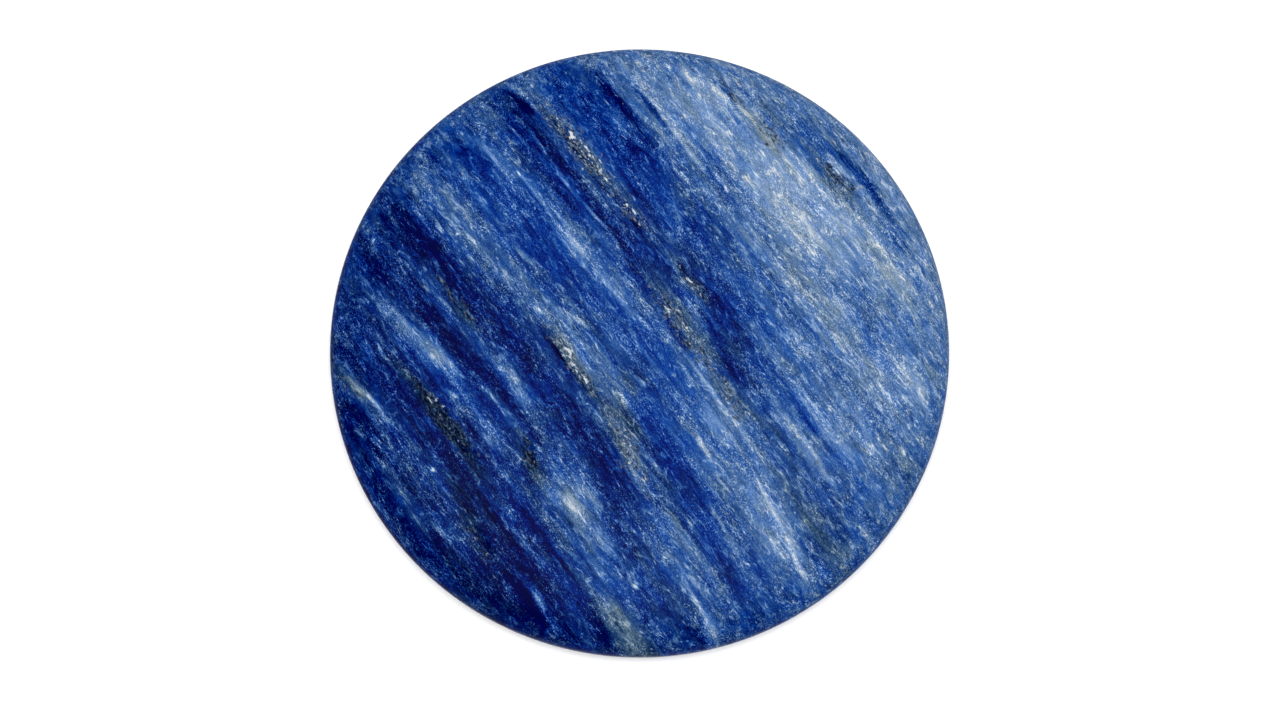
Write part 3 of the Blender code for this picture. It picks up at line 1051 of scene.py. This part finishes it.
class Graph:
    """Adds shader nodes to one node tree. Numbers and sockets go in, and a socket comes out."""

    def __init__(self, tree):
        self.tree = tree

    def add(self, kind, inputs=None, output=0, **settings):
        """One output of a new node that has these settings and inputs, or None if it has no output."""
        made = self.tree.nodes.new(kind)
        for name, value in settings.items():
            setattr(made, name, value)
        for socket, value in (inputs or {}).items():
            if isinstance(value, bpy.types.NodeSocket):
                self.tree.links.new(value, made.inputs[socket])
            else:
                made.inputs[socket].default_value = value
        return made.outputs[output] if made.outputs else None

    def maths(self, operation, *values):
        """The result of a sum on numbers."""
        return self.add("ShaderNodeMath", dict(enumerate(values)), operation=operation)

    def vector(self, operation, *values):
        """The result of a sum on vectors."""
        return self.add("ShaderNodeVectorMath", dict(enumerate(values)), operation=operation)

    def smooth(self, value, start, end, low=0.0, high=1.0):
        """From low to high, softly, as the value goes from start to end."""
        inputs = {"Value": value, "From Min": start, "From Max": end, "To Min": low, "To Max": high}
        settings = {"interpolation_type": "SMOOTHSTEP", "clamp": False}
        return self.add("ShaderNodeMapRange", inputs, **settings)

    def noise(self, place, length, width, row, detail=1.0, roughness=0.5, output="Fac"):
        """Noise whose spots are so long along the grain and so wide across it, in millimetres."""
        inputs = {"Vector": place, "Location": [row * step for step in NOISE_STEPS]}
        inputs["Scale"] = (1 / length, 1 / width, 1 / width)
        spots = self.add("ShaderNodeMapping", inputs)
        inputs = {"Vector": spots, "Scale": 1.0, "Detail": detail, "Roughness": roughness}
        return self.add("ShaderNodeTexNoise", inputs, output)

    def field(self, name):
        """One of the fields that the mesh carries."""
        settings = {"attribute_type": "GEOMETRY", "attribute_name": name}
        return self.add("ShaderNodeAttribute", output="Fac", **settings)

    def blend(self, share, first, second):
        """The first colour where share is 0, and the second where it is 1."""
        inputs = {MIX_SHARE: share, MIX_FIRST: first, MIX_SECOND: second}
        return self.add("ShaderNodeMix", inputs, MIX_RESULT, data_type="RGBA")

    def ramp(self, tone, stops):
        """The colour of a tone, from stops."""
        share = self.maths("DIVIDE", tone, WHITE)
        made = self.tree.nodes.new("ShaderNodeValToRGB")
        self.tree.links.new(share, made.inputs[0])
        elements = made.color_ramp.elements
        for at, colour in stops[1:-1]:
            elements.new(at / WHITE).color = as_linear(colour)
        elements[0].color = as_linear(stops[0][1])
        elements[len(stops) - 1].color = as_linear(stops[-1][1])
        return made.outputs[0]


def grain_place(graph):
    """Each point of the stone in millimetres along the grain and across it, with the layers' dip."""
    place = graph.add("ShaderNodeTexCoord", output="Object")
    inputs = {
        "Vector": place,
        "Rotation": Euler((0, 0, GRAIN_ANGLE)),
        "Scale": (1 / MM, 1 / MM, 1 / MM),
    }
    level = graph.add("ShaderNodeMapping", inputs)
    inputs = {
        "Vector": level,
        "Location": (0, THICKNESS / MM * math.sin(DIP), 0),
        "Rotation": Euler((DIP, 0, 0)),
        "Scale": (1, 1 / math.cos(DIP), 1),
    }
    return graph.add("ShaderNodeMapping", inputs)


def rippled(graph, place):
    """Places pushed a little along and across the grain by a fine noise."""
    push = graph.noise(place, *RIPPLE_SPOTS, "Color")
    centred = graph.vector("SUBTRACT", push, (0.5, 0.5, 0.5))
    way = graph.vector("MULTIPLY", centred, (2 * RIPPLE_ALONG, 2 * RIPPLE_ACROSS, 0))
    return graph.add("ShaderNodeMapping", {"Vector": place, "Location": way})


def centred_noise(graph, place, *spots):
    """Noise about 0 in place of one half."""
    return graph.maths("SUBTRACT", graph.noise(place, *spots), 0.5)


def streak_sum(graph, place, streaks, first_row):
    """The tones of streaks of several sizes, added up."""
    tone = 0.0
    for row, (length, width, strength) in enumerate(streaks, start=first_row):
        spots = centred_noise(graph, place, length, width, row, 0.0)
        tone = graph.maths("MULTIPLY_ADD", spots, strength, tone)
    return tone


def streak_tone(graph, place):
    """Tones of the stone's own streaks, coarse to fine. Its light streaks outdo its dark ones."""
    coarse = streak_sum(graph, place, COARSE_STREAKS, COARSE_ROW)
    fine = streak_sum(graph, place, FINE_STREAKS, FINE_ROW)
    busy = graph.smooth(graph.noise(place, *BUSY_SPOTS), *BUSY_RANGE)
    fine = graph.maths("MULTIPLY", fine, busy)
    skewed = graph.maths("MULTIPLY", fine, graph.maths("MULTIPLY_ADD", fine, LIGHT_BIAS, 1.0))
    return graph.maths("ADD", coarse, skewed)


def fleck_tone(graph, place):
    """Tones of scattered thin strokes and grains."""
    tone = 0.0
    for row, (length, width, turn, share, thickness, strength) in enumerate(FLECKS.values()):
        inputs = {
            "Vector": place,
            "Location": [row * step for step in FLECK_STEPS],
            "Rotation": Euler((0, 0, math.radians(turn))),
            "Scale": (length, width, width),
        }
        scaled = graph.add("ShaderNodeMapping", inputs, vector_type="TEXTURE")
        off = graph.add("ShaderNodeTexVoronoi", {"Vector": scaled, "Scale": 1.0}, "Distance")
        near = graph.smooth(off, thickness, thickness * FLECK_CORE)
        pick = graph.add("ShaderNodeSeparateColor", {"Color": off.node.outputs["Color"]})
        shown = graph.smooth(pick, 1 - share, 1.0, 0.0, strength)
        tone = graph.maths("MULTIPLY_ADD", near, shown, tone)
    return tone


def wisp_tone(graph, place):
    """Tones of thin curling lines, which come and go."""
    tone = 0.0
    for row, (length, width, thinness, strength) in enumerate(WISPS):
        spots = centred_noise(graph, place, length, width, WISP_ROW + row, 1.0)
        line = graph.smooth(graph.maths("ABSOLUTE", spots), 0.0, thinness, 1.0, 0.0)
        patches = graph.noise(place, *WISP_PATCH_SIZE, WISP_PATCH_ROW + row, 0.0)
        shown = graph.smooth(patches, *WISP_PATCH_RANGE, 0.0, strength)
        tone = graph.maths("MULTIPLY_ADD", line, shown, tone)
    return tone


def with_film(graph, place, blue):
    """(the stone's colour under the grey film of its crusty seams, how much film shows)."""
    patchy = graph.smooth(graph.noise(place, *FILM_SPOTS), *FILM_PATCH_RANGE)
    shown = graph.smooth(graph.maths("ADD", graph.field("film"), patchy), *FILM_RANGE)
    mottling = graph.smooth(graph.noise(place, *FILM_TONE_SPOTS), *FILM_TONE_RANGE)
    tone = graph.maths("ADD", graph.field("film_tone"), mottling)
    return graph.blend(shown, blue, graph.ramp(tone, CRUST_COLOURS)), shown


def with_grains(graph, place, colour):
    """(the colour with cream grains over it, how much cream shows)."""
    spots = graph.noise(place, *CREAM_SPOTS)
    lumps = graph.maths("MULTIPLY_ADD", graph.field("grains"), GRAIN_LIFT, spots)
    shown = graph.smooth(lumps, *CREAM_RANGE)
    cream = graph.ramp(graph.smooth(lumps, *CREAM_TONE_RANGE), CREAMS)
    return graph.blend(shown, colour, cream), shown


def blue_colour(graph, place):
    """The stone's blue, with its bands, streaks, strokes and curling lines, and the painted light, painted
    soft reflection and painted shade that its tone field carries.
    """
    tone = graph.maths("ADD", graph.field("tone"), streak_tone(graph, place))
    tone = graph.maths("ADD", tone, fleck_tone(graph, place))
    tone = graph.maths("ADD", tone, wisp_tone(graph, place))
    spots = centred_noise(graph, place, *HUE_SPOTS)
    step = graph.maths("MULTIPLY_ADD", spots, 2 * HUE_SPREAD, graph.field("hue"))
    vivid = graph.smooth(step, GREY_STEP, VIVID_STEP)
    return graph.blend(vivid, graph.ramp(tone, GREY_BLUES), graph.ramp(tone, VIVID_BLUES))


def polish_bump(graph, place):
    """The faint unevenness of the polish."""
    grain = graph.noise(place, *POLISH_SPOTS)
    inputs = {"Height": grain, "Strength": BUMP_STRENGTH, "Distance": BUMP_DEPTH}
    return graph.add("ShaderNodeBump", inputs)


def kyanite_material():
    """Polished blue stone with bands, streaks, strokes, grains and crusty seams."""
    material = bpy.data.materials.new("kyanite")
    material.use_nodes = True
    material.node_tree.nodes.clear()
    graph = Graph(material.node_tree)
    even_place = grain_place(graph)
    place = rippled(graph, even_place)
    colour, film = with_film(graph, place, blue_colour(graph, place))
    colour, cream = with_grains(graph, place, colour)
    rough = graph.maths("MAXIMUM", film, cream)
    inputs = {
        "Base Color": colour,
        "Roughness": graph.smooth(rough, *ROUGHNESS_RANGE),
        "IOR": REFRACTION,
        "Specular IOR Level": REFLECTION,
        "Normal": polish_bump(graph, even_place),
    }
    surface = graph.add("ShaderNodeBsdfPrincipled", inputs)
    graph.add("ShaderNodeOutputMaterial", {"Surface": surface})
    return material


def add_stone():
    """The stone's fine surface, in place of its plain solid."""
    stone = bpy.data.objects.new("kyanite_stone", stone_mesh())
    bpy.context.scene.collection.objects.link(stone)
    stone.data.shade_smooth()
    stone.data.materials.append(kyanite_material())
    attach(stone, "root")
    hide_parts(STONE)


def floor_material():
    """An even, matt, pale surface."""
    material = bpy.data.materials.new("floor")
    material.use_nodes = True
    shader = material.node_tree.nodes["Principled BSDF"]
    shader.inputs["Base Color"].default_value = FLOOR_COLOUR
    shader.inputs["Roughness"].default_value = FLOOR_ROUGHNESS
    shader.inputs["Specular IOR Level"].default_value = 0.0
    return material


def add_floor():
    """A wide pale floor under the disc."""
    reach = FLOOR_REACH
    corners = [(-reach, -reach, 0), (reach, -reach, 0), (reach, reach, 0), (-reach, reach, 0)]
    mesh = bpy.data.meshes.new("floor")
    mesh.from_pydata(corners, [], [(0, 1, 2, 3)])
    mesh.materials.append(floor_material())
    floor = bpy.data.objects.new("floor", mesh)
    bpy.context.scene.collection.objects.link(floor)


def add_lamp(name, azimuth, power):
    """A square soft light that faces the disc."""
    light = bpy.data.lights.new(name, "AREA")
    light.shape = "SQUARE"
    light.size = LAMP_SIZE
    light.energy = power
    lamp = bpy.data.objects.new(name, light)
    bpy.context.scene.collection.objects.link(lamp)
    azimuth = math.radians(azimuth)
    level = math.cos(LAMP_ELEVATION)
    towards = Vector(
        (math.cos(azimuth) * level, math.sin(azimuth) * level, math.sin(LAMP_ELEVATION))
    )
    lamp.location = towards * LAMP_DISTANCE
    lamp.rotation_euler = towards.to_track_quat("Z", "Y").to_euler()


def add_surround():
    """A pale surround that is dimmer overhead."""
    world = bpy.data.worlds.new("studio")
    bpy.context.scene.world = world
    world.use_nodes = True
    world.node_tree.nodes.clear()
    graph = Graph(world.node_tree)
    place = graph.add("ShaderNodeTexCoord", output="Generated")
    up = graph.add("ShaderNodeSeparateXYZ", {"Vector": place}, "Z")
    strength = graph.smooth(up, *SURROUND_RANGE)
    surround = graph.add("ShaderNodeBackground", {"Color": (1, 1, 1, 1), "Strength": strength})
    graph.add("ShaderNodeOutputWorld", {"Surface": surround})


def add_camera():
    """The camera, aimed so that the disc falls where the photo has it."""
    data = bpy.data.cameras.new("camera")
    data.lens = LENS
    data.sensor_width = SENSOR
    camera = bpy.data.objects.new("camera", data)
    bpy.context.scene.collection.objects.link(camera)
    metres_per_pixel = 2 * RADIUS / DISC_WIDTH
    distance = metres_per_pixel * FRAME_WIDTH * LENS / SENSOR
    back = Vector((0, -math.cos(CAMERA_ELEVATION), math.sin(CAMERA_ELEVATION)))
    camera.rotation_euler = back.to_track_quat("Z", "Y").to_euler()
    right = Vector((1, 0, 0))
    up = back.cross(right)
    aim = Vector((0, 0, THICKNESS * GIRDLE_SHARE))
    aim += right * (FRAME_WIDTH / 2 - DISC_CENTRE_X) * metres_per_pixel
    aim -= up * ((FRAME_HEIGHT / 2 - DISC_CENTRE_Y) * metres_per_pixel + OUTLINE_DROP)
    camera.location = aim + back * distance
    bpy.context.scene.camera = camera


def main():
    """Builds the camera, the light, the floor and the stone."""
    noise.seed_set(SEED)
    add_camera()
    for name, (azimuth, power) in LAMPS.items():
        add_lamp(name, azimuth, power)
    add_surround()
    add_floor()
    add_stone()
    bpy.context.scene.view_settings.view_transform = "Standard"


main()
